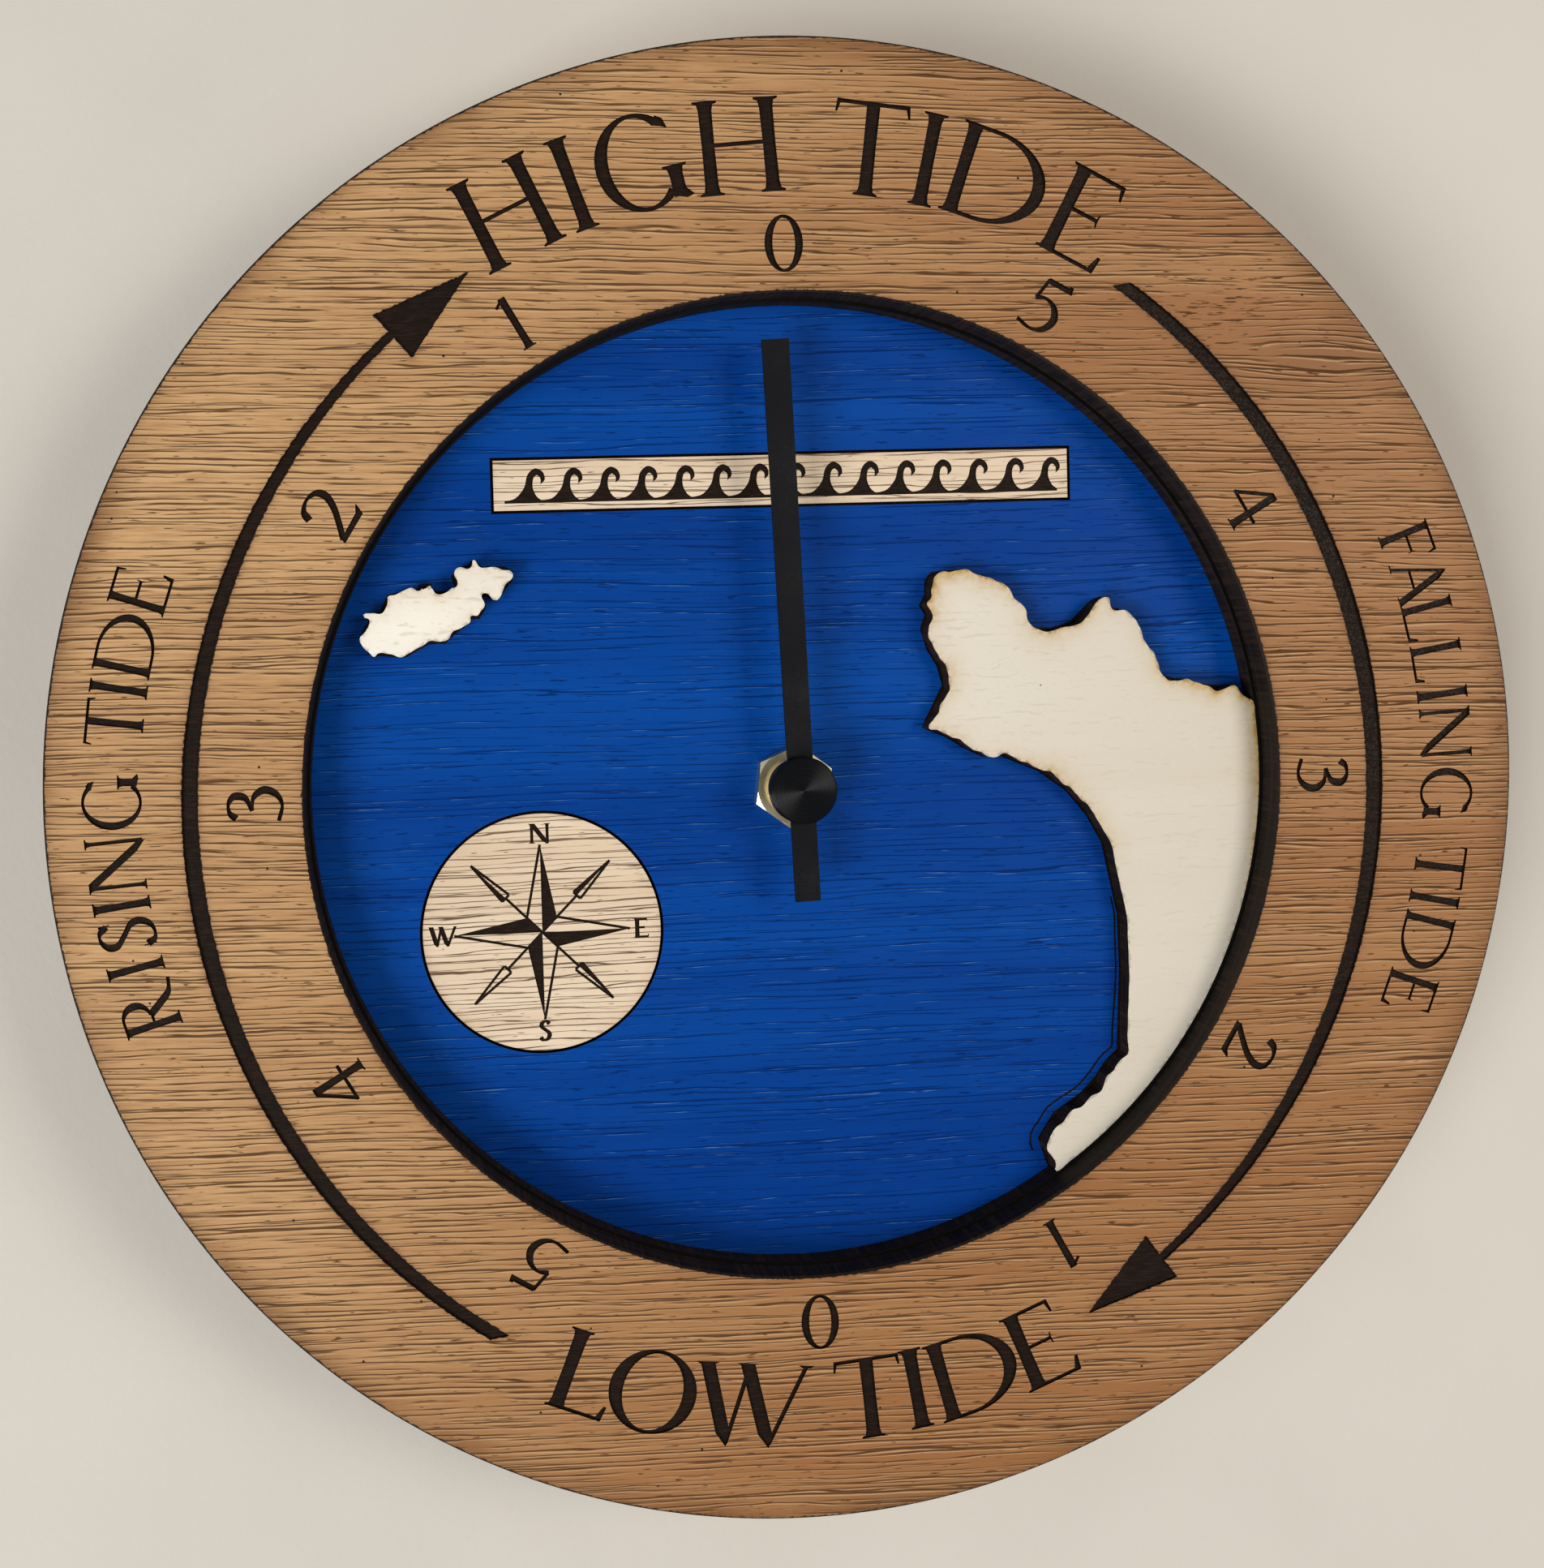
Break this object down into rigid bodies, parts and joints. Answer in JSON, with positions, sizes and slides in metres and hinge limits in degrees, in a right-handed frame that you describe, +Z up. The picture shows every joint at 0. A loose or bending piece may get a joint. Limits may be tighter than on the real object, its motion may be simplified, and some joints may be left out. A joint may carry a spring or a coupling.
{
  "type": "tide clock",
  "caption": "Round wooden wall tide clock: wide ring over a painted dial with raised land pieces, one baton hand, and a battery quartz movement with a geared tide train behind.",
  "frame": {"origin": "centre of the hanger hole, where the wall screw holds the clock", "axes": "+Y points back to the wall along the hanger hole, +Z up, +X to the viewer's right; the dial faces -Y"},
  "size_m": [0.3, 0.0346, 0.3],
  "materials": {
    "oak": "oak veneer, oiled, laser-burnt edges",
    "spacer": "burnt edge",
    "dial_blue": "blue paint over grain",
    "land_white": "white wash, burnt edges",
    "pale_wood": "bare veneer",
    "brass": "polished",
    "black_aluminium": "black, turned",
    "steel": "zinc plated",
    "black_plastic": "moulded",
    "white_plastic": "moulded",
    "rubber": "matt",
    "copper": "enamelled copper wire",
    "board": "circuit board",
    "magnet": "sintered magnet",
    "cell": "plain printed sleeve"
  },
  "bodies": {
    "clock": {"bezel_ring": "oak", "spacer_ring": "spacer", "dial_disc": "dial_blue", "mainland_piece": "land_white", "island_piece": "land_white", "name_plate": "pale_wood", "compass_plate": "pale_wood", "hex_nut": "brass", "threaded_bush": "brass", "rubber_washer": "rubber", "hanger_bracket": "steel", "movement_case": "black_plastic", "movement_cover": "black_plastic", "cover_screws": "steel", "train_plate": "white_plastic", "stator_plate": "steel", "coil_core": "steel", "coil_bobbin": "white_plastic", "coil_winding": "copper", "circuit_board": "board", "quartz_crystal": "steel", "driver_chip": "black_plastic", "positive_contact": "steel", "negative_contact": "steel"},
    "hand": {"tide_hand": "black_aluminium", "hand_collet": "black_aluminium", "hand_cap": "black_aluminium", "tide_arbor": "brass", "tide_wheel": "white_plastic"},
    "minute_wheel": {"minute_wheel": "white_plastic"},
    "minute_arbor": {"minute_arbor": "white_plastic"},
    "set_knob": {"set_knob": "black_plastic", "set_arbor": "white_plastic"},
    "centre_wheel": {"centre_wheel": "white_plastic"},
    "third_wheel": {"third_wheel": "white_plastic"},
    "second_wheel": {"second_wheel": "white_plastic"},
    "fifth_wheel": {"fifth_wheel": "white_plastic"},
    "rotor": {"rotor_magnet": "magnet", "rotor_pinion": "white_plastic"},
    "battery": {"battery_cell": "cell"}
  },
  "joints": [
    {"name": "tide_spin", "type": "hinge", "parent": "clock", "child": "hand", "pos_m": [0, -0.0111, -0.038], "axis": [0, 1, 0], "continuous": true},
    {"name": "minute_wheel_spin", "type": "hinge", "parent": "clock", "child": "minute_wheel", "pos_m": [-0.00963, -0.0111, -0.03244], "axis": [0, 1, 0], "continuous": true},
    {"name": "minute_arbor_spin", "type": "hinge", "parent": "clock", "child": "minute_arbor", "pos_m": [0, -0.0111, -0.038], "axis": [0, 1, 0], "continuous": true},
    {"name": "set_knob_spin", "type": "hinge", "parent": "clock", "child": "set_knob", "pos_m": [-0.01544, -0.0111, -0.02238], "axis": [0, 1, 0], "continuous": true},
    {"name": "second_spin", "type": "hinge", "parent": "clock", "child": "second_wheel", "pos_m": [0.01374, -0.0111, -0.0326], "axis": [0, 1, 0], "continuous": true},
    {"name": "third_spin", "type": "hinge", "parent": "clock", "child": "third_wheel", "pos_m": [0.00886, -0.0111, -0.03956], "axis": [0, 1, 0], "continuous": true},
    {"name": "centre_spin", "type": "hinge", "parent": "clock", "child": "centre_wheel", "pos_m": [0, -0.0111, -0.038], "axis": [0, 1, 0], "continuous": true},
    {"name": "fifth_spin", "type": "hinge", "parent": "clock", "child": "fifth_wheel", "pos_m": [0.01169, -0.0111, -0.02696], "axis": [0, 1, 0], "continuous": true},
    {"name": "rotor_spin", "type": "hinge", "parent": "clock", "child": "rotor", "pos_m": [0.00684, -0.0111, -0.02416], "axis": [0, 1, 0], "continuous": true},
    {"name": "battery_lift", "type": "slide", "parent": "clock", "child": "battery", "axis": [0, 1, 0], "range_m": [0, 0.03]}
  ],
  "couplings": [
    {"joint": "minute_wheel_spin", "follows": "tide_spin", "ratio": -3.45},
    {"joint": "minute_arbor_spin", "follows": "tide_spin", "ratio": 12.42},
    {"joint": "set_knob_spin", "follows": "tide_spin", "ratio": 10.35},
    {"joint": "third_spin", "follows": "second_spin", "ratio": -0.13333},
    {"joint": "centre_spin", "follows": "second_spin", "ratio": 0.016667},
    {"joint": "fifth_spin", "follows": "second_spin", "ratio": -5},
    {"joint": "rotor_spin", "follows": "second_spin", "ratio": 30}
  ]
}
